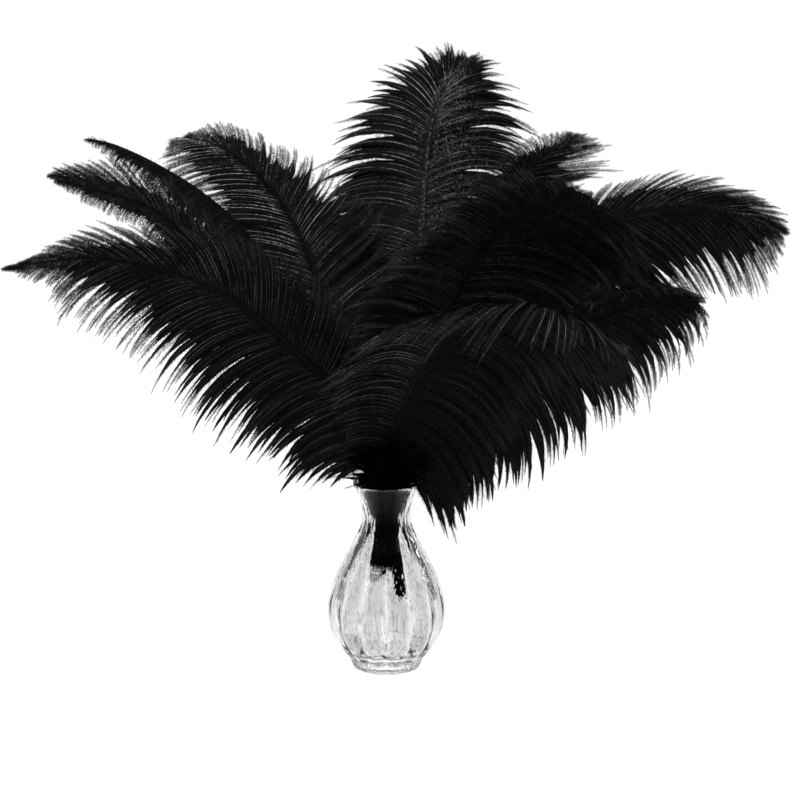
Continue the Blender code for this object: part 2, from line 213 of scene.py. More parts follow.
PLUMES = (
    Plume(
        "feather_left_low", 226, 0.072, 0.012,
        ((-0.024, -0.026, 0.182), (-0.056, -0.050, 0.224), (-0.093, -0.070, 0.261),
         (-0.131, -0.085, 0.282), (-0.170, -0.096, 0.293), (-0.200, -0.101, 0.293),
         (-0.226, -0.103, 0.289)),
        left=(0.050, 0.088, 0.062, 0.004), right=(0.018, 0.062, 0.046, 0.004),
        left_sweep=(102, 80, 42, 6), right_sweep=(60, 50, 26, 4), curl=(0.0, 0.25),
        hair=(0.92, 0.7, 0.3), arch=(0.35, -0.15), gloss_and_painted_highlight=(0.45, 0.6), tip_shape=0.8,
        lock=(0.05, 1, 2),
    ),
    Plume(
        "feather_left_mid", 190, 0.074, 0.060,
        ((-0.026, -0.009, 0.174), (-0.058, -0.016, 0.217), (-0.091, -0.024, 0.255),
         (-0.119, -0.030, 0.287), (-0.140, -0.032, 0.307), (-0.162, -0.034, 0.317),
         (-0.183, -0.036, 0.324), (-0.200, -0.037, 0.329)),
        left=(0.012, 0.040, 0.016, 0.004), right=(0.010, 0.034, 0.036, 0.009),
        left_sweep=(78, 66, 40, 10), right_sweep=(70, 48, 30, 5), roll=(76, 26), droop=(5.0, 0.4),
        curl=(-0.3, 0.2), hair=(0.84, 0.5, 0.45), arch=(0.35, -0.2), gloss_and_painted_highlight=(0.15, 0.25), fluff_painted_light=0.8,
    ),
    Plume(
        "feather_left_high", 154, 0.071, 0.066,
        ((-0.023, 0.008, 0.170), (-0.053, 0.017, 0.215), (-0.074, 0.024, 0.260),
         (-0.093, 0.029, 0.286), (-0.119, 0.033, 0.308), (-0.147, 0.036, 0.325),
         (-0.171, 0.038, 0.336), (-0.187, 0.039, 0.340)),
        left=(0.012, 0.052, 0.023, 0.005), right=(0.010, 0.024, 0.016, 0.004),
        left_sweep=(78, 66, 46, 8), right_sweep=(70, 50, 30, 6), roll=(86, 88), droop=(5.0, 7.0),
        curl=(-0.4, 0.0), hair=(0.9, 0.84, 0.6), gloss_and_painted_highlight=(0.1, 0.1),
    ),
    Plume(
        "feather_upper_left", 118, 0.073, 0.040,
        ((-0.017, 0.026, 0.168), (-0.035, 0.046, 0.213), (-0.045, 0.057, 0.241),
         (-0.055, 0.066, 0.267), (-0.067, 0.073, 0.290), (-0.081, 0.077, 0.307),
         (-0.098, 0.080, 0.321), (-0.113, 0.082, 0.329), (-0.126, 0.083, 0.332)),
        left=(0.030, 0.078, 0.053, 0.014), right=(0.020, 0.074, 0.027, 0.005),
        left_sweep=(72, 56, 42, 10), right_sweep=(72, 68, 62, 10), roll=(0, 14), curl=(0.0, 1.2),
        hair=(0.9, 0.84, 0.5), arch=(0.2, 0.35), gloss_and_painted_highlight=(2.6, 0.6),
    ),
    Plume(
        "feather_top", 82, 0.071, 0.035,
        ((0.009, 0.040, 0.168), (0.017, 0.078, 0.218), (0.023, 0.112, 0.268),
         (0.025, 0.130, 0.294), (0.027, 0.141, 0.312), (0.030, 0.151, 0.330),
         (0.035, 0.157, 0.344), (0.040, 0.161, 0.355), (0.047, 0.163, 0.362)),
        left=(0.045, 0.103, 0.067, 0.013), right=(0.030, 0.087, 0.083, 0.016),
        left_sweep=(80, 83, 80, 12), right_sweep=(80, 76, 62, 0), wool=(0.05, 0.5),
        hair=(0.92, 0.88, 0.85), gloss_and_painted_highlight=(1.4, 0.95), tip_shape=1.45, lock=(0.0, 1, 1),
    ),
    Plume(
        "feather_upper_right", 46, 0.075, 0.050,
        ((0.018, 0.024, 0.172), (0.041, 0.048, 0.226), (0.059, 0.062, 0.265),
         (0.074, 0.074, 0.294), (0.087, 0.081, 0.306), (0.101, 0.088, 0.318),
         (0.112, 0.093, 0.325), (0.118, 0.096, 0.329)),
        left=(0.025, 0.042, 0.020, 0.006), right=(0.030, 0.084, 0.060, 0.007),
        left_sweep=(96, 104, 84, 14), right_sweep=(78, 56, 33, 6), roll=(5, 25), droop=(0.6, 0.2),
        hair=(0.88, 0.62, 0.35), arch=(0.35, -0.05), gloss_and_painted_highlight=(0.4, 0.45), lock=(0.0, 1, 1),
    ),
    Plume(
        "feather_right", 10, 0.072, 0.030,
        ((0.028, 0.005, 0.171), (0.067, 0.010, 0.223), (0.110, 0.015, 0.269),
         (0.141, 0.018, 0.290), (0.168, 0.020, 0.298), (0.193, 0.022, 0.299),
         (0.216, 0.023, 0.296), (0.233, 0.024, 0.291), (0.244, 0.024, 0.286)),
        left=(0.020, 0.033, 0.052, 0.012), right=(0.030, 0.110, 0.074, 0.010),
        left_sweep=(60, 36, 20, 4), right_sweep=(88, 70, 46, 10), curl=(0.2, 0.0),
        hair=(0.66, 0.9, 0.5), arch=(-0.25, 0.35), gloss_and_painted_highlight=(0.5, 0.3),
    ),
    Plume(
        "feather_centre", 334, 0.074, 0.025,
        ((0.020, -0.014, 0.182), (0.038, -0.026, 0.238), (0.049, -0.034, 0.267),
         (0.063, -0.043, 0.292), (0.082, -0.053, 0.310), (0.104, -0.064, 0.319),
         (0.123, -0.073, 0.321)),
        left=(0.030, 0.064, 0.030, 0.010), right=(0.035, 0.085, 0.092, 0.034),
        left_sweep=(80, 84, 100, 60), right_sweep=(80, 74, 58, 24), hair=(0.9, 0.88, 0.8),
        gloss_and_painted_highlight=(0.2, 0.18), fluff_painted_light=4.5,
    ),
    Plume(
        "feather_front", 262, 0.073, 0.022,
        ((0.004, -0.028, 0.161), (0.011, -0.046, 0.187), (0.021, -0.069, 0.216),
         (0.039, -0.093, 0.243), (0.062, -0.117, 0.260), (0.087, -0.138, 0.269),
         (0.109, -0.152, 0.269), (0.125, -0.160, 0.264)),
        left=(0.024, 0.062, 0.080, 0.028), right=(0.086, 0.077, 0.075, 0.028),
        left_sweep=(78, 82, 72, 20), right_sweep=(134, 70, 50, 14), roll=(0, 18), droop=(1.2, 1.8),
        hair=(0.92, 0.93, 0.8), gloss_and_painted_highlight=(0.8, 0.2), fluff_painted_light=0.4, lock=(0.2, 1, 3),
    ),
    Plume(
        "feather_right_low", 298, 0.048, 0.014,
        ((0.025, -0.017, 0.166), (0.061, -0.037, 0.199), (0.100, -0.058, 0.228),
         (0.136, -0.075, 0.253), (0.162, -0.088, 0.265), (0.180, -0.096, 0.267)),
        left=(0.014, 0.040, 0.046, 0.014), right=(0.064, 0.080, 0.063, 0.018),
        left_sweep=(60, 48, 32, 8), right_sweep=(120, 82, 52, 10), droop=(1.5, 1.5),
        lean=(0.005, -0.002), curl=(0.0, -0.9), hair=(0.92, 0.93, 0.6), gloss_and_painted_highlight=(0.2, 0.2), fluff_painted_light=0.5,
        lock=(0.25, 1, 3),
    ),
)


# ---------------------------------------------------------------- materials


class Value:
    """A shader number that takes part in sums written as ordinary arithmetic."""

    def __init__(self, tree, socket):
        self.tree, self.socket = tree, socket

    def _with(self, operation, *others, swapped=False):
        node = self.tree.nodes.new("ShaderNodeMath")
        node.operation = operation
        items = (*others, self) if swapped else (self, *others)
        for socket, item in zip(node.inputs, items):
            feed(self.tree, socket, item)
        return Value(self.tree, node.outputs[0])

    def __add__(self, other):
        return self._with("ADD", other)

    __radd__ = __add__

    def __sub__(self, other):
        return self._with("SUBTRACT", other)

    def __rsub__(self, other):
        return self._with("SUBTRACT", other, swapped=True)

    def __mul__(self, other):
        return self._with("MULTIPLY", other)

    __rmul__ = __mul__

    def __abs__(self):
        return self._with("ABSOLUTE")

    def cosine(self):
        return self._with("COSINE")

    def angle_over(self, across):
        """The angle from the X axis of a point that is this far up and that far across."""
        return self._with("ARCTAN2", across)


def feed(tree, socket, item):
    """Links a value or shader output to a socket, or sets the socket to a constant."""
    if isinstance(item, Value):
        tree.links.new(item.socket, socket)
    elif isinstance(item, bpy.types.NodeSocket):
        tree.links.new(item, socket)
    else:
        socket.default_value = item


def grey(light):
    return (light, light, light, 1.0)


class Finish:
    """A material under construction."""

    def __init__(self, name):
        self.material = bpy.data.materials.new(name)
        self.material.use_nodes = True
        self.tree = self.material.node_tree
        self.shader = self.tree.nodes["Principled BSDF"]

    def node(self, kind, settings=None, **inputs):
        made = self.tree.nodes.new("ShaderNode" + kind)
        for key, value in (settings or {}).items():
            setattr(made, key, value)
        for key, item in inputs.items():
            feed(self.tree, made.inputs[key.replace("_", " ")], item)
        return made

    def axes(self):
        """The object's own X, Y and Z."""
        apart = self.node("SeparateXYZ", Vector=self.node("TexCoord").outputs["Object"])
        return [Value(self.tree, socket) for socket in apart.outputs]

    def noise(self, scale, detail, across=1.0, up=1.0):
        """A pattern in the object's own coordinates, finer across than up if across is more."""
        place = self.node("TexCoord").outputs["Object"]
        stretched = self.node("Mapping", Vector=place, Scale=(across, across, up)).outputs[0]
        made = self.node("TexNoise", Scale=scale, Detail=detail, Vector=stretched)
        return Value(self.tree, made.outputs["Fac"])

    def attribute(self, name):
        return Value(self.tree, self.node("Attribute", {"attribute_name": name}).outputs["Fac"])

    def part(self, value, low, high):
        """0 to 1 as the value goes from low to high."""
        made = self.node("MapRange", Value=value, From_Min=low, From_Max=high)
        return Value(self.tree, made.outputs[0])

    def blend(self, factor, first, second):
        made = self.node("Mix", {"data_type": "RGBA"})
        feed(self.tree, made.inputs[0], factor)
        feed(self.tree, made.inputs[6], first)
        feed(self.tree, made.inputs[7], second)
        return made.outputs[2]

    def set(self, **inputs):
        for key, item in inputs.items():
            feed(self.tree, self.shader.inputs[key.replace("_", " ")], item)


def rib_wave(angle):
    """1 on the middle of a rib and 0 in the valley beside it."""
    return abs(angle.cosine())


def glass_finish():
    """Clear pressed glass, a little wavy, with painted light in its tint: painted highlight lines
    in the valleys between the ribs, a painted lighter foot and flutes, and painted dark streaks.
    """
    glass = Finish("clear_pressed_glass")
    x, y, z = glass.axes()
    waves = glass.noise(1.0, 2.0, 170.0, 45.0)
    fine = glass.noise(1.0, 1.0, 600.0, 160.0)
    streaks = glass.noise(1.0, 2.0, 330.0, 38.0)
    angle = y.angle_over(x)
    lobe = rib_wave((angle + (waves - 0.5) * 0.12) * (RIBS / 2))
    # Painted highlight: lighter lines of tint in the rib valleys, broken into streaks
    light = glass.part(streaks * 0.5 - lobe * 0.5, -0.12, 0.18)
    # Painted shade: darker wavy streaks in the tint
    painted_dark_streaks = glass.part(glass.noise(1.0, 3.0, 420.0, 60.0), 0.58, 0.66)
    # Painted highlight: the foot lighter, its flutes lighter still
    foot = glass.part(z, 0.0095, 0.0080)
    flutes = rib_wave(angle * (FLUTES / 2)) + (streaks - 0.5) * 2.0
    painted_flute_highlights = glass.part(flutes, 0.35, 0.65) * foot
    tint_with_painted_light = glass.blend(light, (0.76, 0.765, 0.77, 1.0), grey(1.0))
    tint_with_painted_light = glass.blend(foot * 0.7 + painted_flute_highlights * 0.3, tint_with_painted_light, grey(1.0))
    tint_with_painted_light = glass.blend(painted_dark_streaks, tint_with_painted_light, (0.42, 0.425, 0.43, 1.0))
    bump = glass.node("Bump", Strength=0.4, Distance=0.0008, Height=waves + fine * 0.4)
    glass.set(
        Base_Color=tint_with_painted_light, Roughness=fine * 0.02, IOR=1.5, Specular_Tint=grey(0.03),
        Transmission_Weight=1.0, Normal=bump.outputs[0],
    )
    return glass.material


def shaft_finish():
    """The quills and shafts: dyed horn, black with a satin shine."""
    shaft = Finish("black_shafts")
    patches = shaft.noise(60.0, 3.0)
    shaft.set(
        Base_Color=shaft.blend(patches, grey(0.001), grey(0.004)),
        Roughness=patches * 0.25 + 0.4, Specular_IOR_Level=0.03,
    )
    return shaft.material


def barb_finish():
    """The barbs: thin black horn, each with its own gloss and a painted highlight in its colour,
    broken into short lines.
    """
    barb = Finish("black_barbs")
    patches = barb.noise(45.0, 2.0)
    breaks = barb.noise(420.0, 1.0)
    # The gloss also lightens the base colour: a painted highlight along the barbs
    gloss_and_painted_highlight = barb.part(patches * 0.6 + breaks * 0.4, 0.38, 0.60) * barb.attribute("tone")
    barb.set(
        Base_Color=barb.blend(gloss_and_painted_highlight, grey(0.002), grey(0.090)),
        Roughness=patches * 0.2 + 0.35, Specular_IOR_Level=0.05,
        Coat_Weight=gloss_and_painted_highlight, Coat_Roughness=0.30, Coat_IOR=1.9,
    )
    return barb.material


def barbule_finish():
    """The fluff: dull black, each barb's a little lighter or darker, with painted specks of light
    and painted light towards the barb ends.
    """
    fluff = Finish("black_barbules")
    patches = fluff.noise(90.0, 3.0)
    specks = fluff.part(fluff.noise(1100.0, 1.0), 0.55, 0.75)
    # Painted light: the specks and the light carried by the attribute lighten the fluff's colour
    light = (patches * 0.4 + specks * 0.6) * (fluff.attribute("tone") * 0.28 + 0.06)
    fluff.set(
        Base_Color=fluff.blend(light, (0.0007, 0.0007, 0.0008, 1.0), grey(0.05)),
        Roughness=patches * 0.2 + 0.5, Specular_IOR_Level=0.04,
    )
    return fluff.material


def wool_finish():
    """The wool by the shafts, with painted grey specks of light on its standing ends."""
    wool = Finish("black_shaft_wool")
    specks = wool.noise(700.0, 1.0)
    # Painted glints: light specks in the wool's colour
    light = wool.part(specks, 0.45, 0.65)
    wool.set(
        Base_Color=wool.blend(light, grey(0.003), grey(0.14)),
        Roughness=specks * 0.2 + 0.5, Specular_IOR_Level=0.15,
    )
    return wool.material


def floor_finish():
    """A pale seamless studio floor."""
    floor = Finish("pale_floor")
    grain = floor.noise(3.0, 2.0)
    floor.set(
        Base_Color=floor.blend(grain, grey(0.16), grey(0.18)),
        Roughness=0.9, Specular_IOR_Level=0.1, Emission_Color=grey(1.0), Emission_Strength=0.96,
    )
    return floor.material


# ---------------------------------------------------------------- vase


def active():
    return bpy.context.view_layer.objects.active


def apply_modifier(kind, **settings):
    modifier = active().modifiers.new(kind.lower(), kind)
    for key, value in settings.items():
        setattr(modifier, key, value)
    bpy.ops.object.modifier_apply(modifier=modifier.name)


def read_places(obj):
    places = np.empty(len(obj.data.vertices) * 3)
    obj.data.vertices.foreach_get("co", places)
    return places.reshape(-1, 3)


def spin_outline(name, outline):
    """Draws the outline edge by edge, then spins it about the upright axis into a closed body."""
    bpy.ops.object.select_all(action="DESELECT")
    bpy.ops.mesh.primitive_plane_add(size=0.001, location=(0, 0, 0))
    active().name = name
    bpy.ops.object.mode_set(mode="EDIT")
    bpy.ops.mesh.select_all(action="SELECT")
    bpy.ops.mesh.merge(type="CENTER")
    bpy.ops.transform.translate(value=(outline[0][0], 0, outline[0][1]))
    for (radius, height), (next_radius, next_height) in zip(outline, outline[1:]):
        step = (next_radius - radius, 0, next_height - height)
        bpy.ops.mesh.extrude_region_move(TRANSFORM_OT_translate={"value": step})
    bpy.ops.mesh.select_all(action="SELECT")
    bpy.ops.mesh.spin(steps=SPIN_STEPS, angle=math.tau, center=(0, 0, 0), axis=(0, 0, 1))
    bpy.ops.mesh.select_all(action="SELECT")
    bpy.ops.mesh.remove_doubles(threshold=0.00001)
    bpy.ops.mesh.normals_make_consistent(inside=False)
    bpy.ops.object.mode_set(mode="OBJECT")
    return active()


def press(obj, name, weights, depth):
    """Sinks the skin by depth where the weights say so."""
    group = obj.vertex_groups.new(name=name)
    for index in np.flatnonzero(weights > 0.001):
        group.add([int(index)], float(weights[index]), "REPLACE")
    apply_modifier("DISPLACE", vertex_group=name, strength=-depth, mid_level=0.0)


def make_vase():
    outline = [(0.0, FLOOR_HEIGHT)] + list(reversed(BORE)) + list(OUTSIDE) + [(0.0, 0.0)]
    vase = spin_outline("bud_vase", outline)
    apply_modifier("SUBSURF", levels=1, render_levels=1)
    x, y, z = read_places(vase).T
    radius, around = np.hypot(x, y), np.arctan2(y, x)
    heights = [height for _, height in reversed(OUTSIDE)]
    radii = [size for size, _ in reversed(OUTSIDE)]
    outer = radius > np.interp(z, heights, radii) - SKIN_CHECK
    outer &= (z > 0.0) & (z < VASE_HEIGHT)
    lobe = np.abs(np.cos(RIBS * around / 2))
    fade = np.clip((RIBS_FADE_TO - z) / (RIBS_FADE_TO - RIBS_FADE_FROM), 0, 1)
    line = SCALLOP_TOP - SCALLOP_DROP * lobe
    body = np.clip((z - line) / SCALLOP_EDGE, 0, 1)
    ribbed = FOOT_RIB_SHARE + (1 - FOOT_RIB_SHARE) * body
    press(vase, "valleys", outer * (1 - lobe) * fade * ribbed, RIB_DEPTH)
    press(vase, "recess", outer * (1 - body), FOOT_RECESS)
    flute = (0.5 - 0.5 * np.cos(FLUTES * around)) * np.clip(z / FLUTES_FADE_TO, 0, 1)
    press(vase, "flutes", outer * (1 - body) * flute, FLUTE_DEPTH)
    bpy.ops.object.shade_smooth()
    return vase


# ---------------------------------------------------------------- plumes


def unit(vectors):
    return vectors / np.maximum(np.linalg.norm(vectors, axis=-1, keepdims=True), 1e-12)


def read_off(shares, pairs):
    """The values at these shares of a line drawn through the pairs."""
    return np.interp(shares, *zip(*pairs))


def smooth_route(points):
    """Points a small step apart on one smooth curve through the route's own points."""
    points = np.array(points, float)
    ends = np.vstack([2 * points[0] - points[1], points, 2 * points[-1] - points[-2]])
    curve = []
    t = np.linspace(0.0, 1.0, ROUTE_STEPS // len(points), endpoint=False)[:, None]
    for a, b, c, d in zip(ends, ends[1:], ends[2:], ends[3:]):
        bend = 2 * a - 5 * b + 4 * c - d + t * (3 * (b - c) + d - a)
        curve.append(b + 0.5 * t * (c - a + t * bend))
    return np.vstack(curve + [points[-1:]])


class Shaft:
    """A plume's shaft: places and directions at any share of its length."""

    def __init__(self, plume):
        quill = math.radians(plume.angle)
        x, y = RING_RADIUS * math.cos(quill), RING_RADIUS * math.sin(quill)
        end = (x + plume.lean[0], y + plume.lean[1], plume.lowest)
        quill_route = [end, (x, y, NECK_HEIGHT), (x, y, UPRIGHT_TO)]
        self.curve = smooth_route(quill_route + list(plume.route))
        steps = np.linalg.norm(np.diff(self.curve, axis=0), axis=1)
        along = np.concatenate([[0.0], np.cumsum(steps)])
        self.length = along[-1]
        self.along = along / self.length
        lower = slice(0, len(self.curve) // 2)
        self.mouth = np.interp(VASE_HEIGHT, self.curve[lower, 2], self.along[lower])
        self.bare = self.mouth + plume.start / self.length
        self.rings = np.concatenate([
            np.linspace(0.0, self.bare, QUILL_RINGS, endpoint=False),
            np.linspace(self.bare, 1.0, VANE_RINGS),
        ])
        self.tangents = unit(np.gradient(self.places(self.rings), axis=0))
        facing = [np.array((0.0, -1.0, 0.0))]
        for tangent in self.tangents:
            facing.append(unit(facing[-1] - tangent * (facing[-1] @ tangent)))
        facing = np.array(facing[1:])
        right = np.cross(self.tangents, facing)
        roll = np.interp(np.linspace(0, 1, len(self.rings)), (0, 1), plume.roll)
        turn = np.radians(roll)[:, None]
        self.right = right * np.cos(turn) - facing * np.sin(turn)
        self.facing = facing * np.cos(turn) + right * np.sin(turn)

    def places(self, shares):
        return np.column_stack([np.interp(shares, self.along, self.curve[:, i]) for i in range(3)])

    def directions(self, shares):
        """Tangent, rightward and facing directions at these shares."""
        return [
            unit(np.column_stack([np.interp(shares, self.rings, field[:, i]) for i in range(3)]))
            for field in (self.tangents, self.right, self.facing)
        ]


class Fluff:
    """Collects tubes, webs and single barbules as the triangles of one mesh."""

    def __init__(self):
        self.places, self.triangles, self.kinds, self.tones, self.count = [], [], [], [], 0

    def add(self, places, triangles, kind, tone=0.5):
        self.places.append(places.reshape(-1, 3))
        many = len(self.places[-1])
        self.tones.append(np.repeat(tone, many // np.size(tone)))
        self.triangles.append(triangles.reshape(-1, 3) + self.count)
        self.kinds.append(np.full(len(self.triangles[-1]), kind, np.int32))
        self.count += len(self.places[-1])

    def net(self, rows, kind, closed, tone=0.5):
        """Skins between rows of points, many at once, closed into tubes where closed is true."""
        many, steps, across = rows.shape[:3]
        index = np.arange(many * steps * across).reshape(many, steps, across)
        if closed:
            index = np.concatenate([index, index[:, :, :1]], axis=2)
        a, b = index[:, :-1, :-1], index[:, :-1, 1:]
        c, d = index[:, 1:, 1:], index[:, 1:, :-1]
        corners = [(a, b, c), (a, c, d)]
        if closed:
            first, last = index[:, 0], index[:, -1]
            for turn in range(1, across - 1):
                corners.append((first[:, 0], first[:, turn + 1], first[:, turn]))
                corners.append((last[:, 0], last[:, turn], last[:, turn + 1]))
        triangles = [np.stack(three, axis=-1).reshape(-1, 3) for three in corners]
        self.add(rows, np.concatenate(triangles), kind, tone)

    def tubes(self, paths, radii, up, sides, kind, tone=0.5):
        """Closed tubes along many paths at once; up is a direction that no path follows."""
        tangents = unit(np.gradient(paths, axis=1))
        first = unit(np.cross(tangents, up))
        second = np.cross(tangents, first)
        turns = (np.arange(sides) * math.tau / sides)[:, None]
        ring = first[:, :, None] * np.cos(turns) + second[:, :, None] * np.sin(turns)
        self.net(paths[:, :, None] + ring * radii[..., None, None], kind, True, tone)

    def mesh(self, name):
        mesh = bpy.data.meshes.new(name)
        triangles = np.concatenate(self.triangles).astype(np.int32)
        mesh.vertices.add(self.count)
        mesh.vertices.foreach_set("co", np.concatenate(self.places).ravel())
        mesh.loops.add(triangles.size)
        mesh.loops.foreach_set("vertex_index", triangles.ravel())
        mesh.polygons.add(len(triangles))
        mesh.polygons.foreach_set("loop_start", np.arange(0, triangles.size, 3, dtype=np.int32))
        mesh.polygons.foreach_set("material_index", np.concatenate(self.kinds))
        mesh.update(calc_edges=True)
        mesh.shade_smooth()
        tone = mesh.attributes.new("tone", "FLOAT", "POINT")
        tone.data.foreach_set("value", np.concatenate(self.tones).astype(np.float32))
        return mesh


def at_vane(values, share, tip_shape=2.0):
    """Lengths or sweeps at these shares of the vane; a high tip shape is round, a low one sharp."""
    past = np.clip((share - PLACES[2]) / (1 - PLACES[2]), 0.0, None)
    tip = values[3] + (values[2] - values[3]) * (1 - past ** tip_shape)
    return np.where(past > 0, tip, np.interp(share, PLACES, values))


def bend_barbs(roots, headings, lengths, droop, arch, hook):
    """Barbs that leave the shaft in an arch and bend down under their weight, the ends hooked."""
    point = roots.copy()
    paths = [point]
    for step in range(BARB_STEPS):
        share = (step + 0.5) / BARB_STEPS
        fall = (droop * lengths / DROOP_LENGTH * share)[:, None] * np.array((0.0, 0.0, 1.0))
        heading = unit(headings - fall + arch * (1 - 2 * share) + hook * share ** 3)
        point = point + heading * (lengths / BARB_STEPS)[:, None]
        paths.append(point)
    return np.stack(paths, axis=1)


def gather(paths, lock, strength):
    """Draws the barbs of one lock together towards their ends."""
    sums = np.zeros((lock.max() + 1,) + paths.shape[1:])
    np.add.at(sums, lock, paths)
    middles = sums / np.bincount(lock)[:, None, None]
    share = np.linspace(0.0, 1.0, paths.shape[1])
    pull = strength * np.clip((share - LOCK_FROM) / (1 - LOCK_FROM), 0, 1) ** 1.5
    return paths + (middles[lock] - paths) * pull[None, :, None]


def add_webs(fluff, paths, normals, random, half_width, hair, tone=0.5):
    """The close part of each barb's barbules, as a low roof with ragged eaves over the barb."""
    ends = hair + random.uniform(-WEB_RAGGED, WEB_RAGGED, (len(paths), 1))
    share = np.linspace(0.0, 1.0, paths.shape[1]) / ends
    widths = half_width * read_off(share, WEB_WIDTHS)
    tangents = unit(np.gradient(paths, axis=1))
    lateral = unit(np.cross(tangents, normals))
    normal = np.cross(lateral, tangents)
    rows = []
    for side in (-1, 0, 1):
        reach = (widths * random.uniform(0.75, 1.15, paths.shape[:2]))[..., None] * abs(side)
        rows.append(paths + lateral * side * reach - normal * reach * WEB_SLOPE)
    fluff.net(np.stack(rows, axis=2), FLUFF_KIND, False, tone)


def add_barbules(fluff, paths, lengths, normals, random, spacing, size, wool=0.0, hair=BARE_FROM):
    """Thin barbules on both sides of every barb, shorter and closer to it near its end."""
    counts = np.maximum((lengths / spacing).astype(int), 4)
    owner = np.repeat(np.arange(len(paths)), counts)
    first = np.concatenate([[0], np.cumsum(counts)[:-1]])
    place = np.arange(len(owner)) - first[owner] + random.random(len(owner))
    share = (place / counts[owner]) ** BARBULE_CROWDING
    steps = paths.shape[1] - 1
    step = np.minimum((share * steps).astype(int), steps - 1)
    start, stop = paths[owner, step], paths[owner, step + 1]
    base = start + (stop - start) * (share * steps - step)[:, None]
    tangent = unit(stop - start)
    normal = normals[owner, step]
    lateral = unit(np.cross(tangent, normal))
    normal = np.cross(lateral, tangent)
    bare = np.broadcast_to(hair, (len(paths), 1))[owner, 0] + 0.1
    for side in (-1, 1):
        # The woolly ones stand up from the barb at any angle, and the rest lie along it
        woolly = (share + random.normal(0.0, 0.08, len(owner)) < wool) & (wool > 0)
        tilt = random.normal(0.0, BARBULE_SPREAD, len(owner))
        tilt += np.where(woolly, random.uniform(0.2, 1.2, len(owner)), 0)
        outward = lateral * side * np.cos(tilt)[:, None] + normal * np.sin(tilt)[:, None]
        angle = np.radians(read_off(share, BARBULE_ANGLES))
        angle = (angle + random.normal(0.0, np.where(woolly, 0.6, 0.14)))[:, None]
        reach = np.clip((bare - share) / REACH_FALL, 0.0, 1.0) ** 0.7
        reach = np.maximum(reach * np.clip(0.6 + share * 3, 0.0, 1.0), LEAST_REACH)
        reach = size * reach * np.interp(share, (0.88, 1.0), (1.0, 0.4))
        reach = reach * random.uniform(0.7, 1.15, len(owner)) * np.where(woolly, 0.6, 1.0)
        aim = unit(tangent * np.cos(angle) + outward * np.sin(angle) - np.array((0, 0, 0.12)))
        half = tangent * (BARBULE_WIDTH / 2 * read_off(share, BARBULE_WIDTHS))[:, None]
        corners = np.stack([base - half, base + half, base + aim * reach[:, None]], axis=1)
        # Painted light, more of it towards the barb's end
        tone = read_off(share, END_PAINTED_LIGHT)
        for kind, these in ((FLUFF_KIND, ~woolly), (WOOL_KIND, woolly)):
            if these.any():
                fluff.add(corners[these], np.arange(3 * these.sum()), kind, tone[these])


def spread_out(normals, paths):
    """Each path's own direction, given to all its points."""
    return np.broadcast_to(normals[:, None], paths.shape)


def lay_barbs(plume, shaft, random, side, lengths, sweeps, droop, curl, arch):
    """One row of barbs, gathered in locks: where on the vane each one stands, its length, its
    path, the face's direction along it, and a number of its own for its gloss and painted
    highlight.
    """
    pull, fewest, most = plume.lock
    count = int((1 - shaft.bare) * shaft.length / BARB_SPACING)
    even = (np.arange(count) + random.uniform(0.3, 0.7, count)) / count
    vane = np.clip(1 - (1 - even) ** BARB_CROWDING, 0, 1)
    shares = shaft.bare + vane * (1 - shaft.bare)
    lock = np.repeat(np.arange(count), random.integers(fewest, most + 1, count))[:count]
    own = random.normal(0.0, 1.0, (5, count))
    common = random.normal(0.0, 1.0, (5, count))[:, lock]
    length = at_vane(lengths, vane, plume.tip_shape) * (1 + 0.04 * common[0] + 0.06 * own[0])
    length = np.maximum(length * np.clip(0.6 + vane * 12, 0, 1), SHORTEST_BARB)
    # The more a plume's barbs hang together in locks, the less even their angles are
    rough = min(1.0, 0.35 + 4 * pull)
    turn = rough * (0.9 * common[1] + 1.2 * own[1])
    sweep = np.radians(at_vane(sweeps, vane) + turn)[:, None]
    camber = np.radians(CAMBER + 2.0 * common[2] + 3.0 * own[2])[:, None]
    tangent, right, facing = shaft.directions(shares)
    outward = right * side * np.cos(camber) - facing * np.sin(camber)
    headings = tangent * np.cos(sweep) + outward * np.sin(sweep)
    loose = 0.10 + 0.15 * abs(curl)
    hook = tangent * (loose * common[3] + curl)[:, None] + facing * (0.2 * common[4])[:, None]
    paths = bend_barbs(shaft.places(shares), headings, length, droop, tangent * arch, hook)
    paths = gather(paths, lock, pull)
    return vane, length, paths, spread_out(facing, paths), own[4]


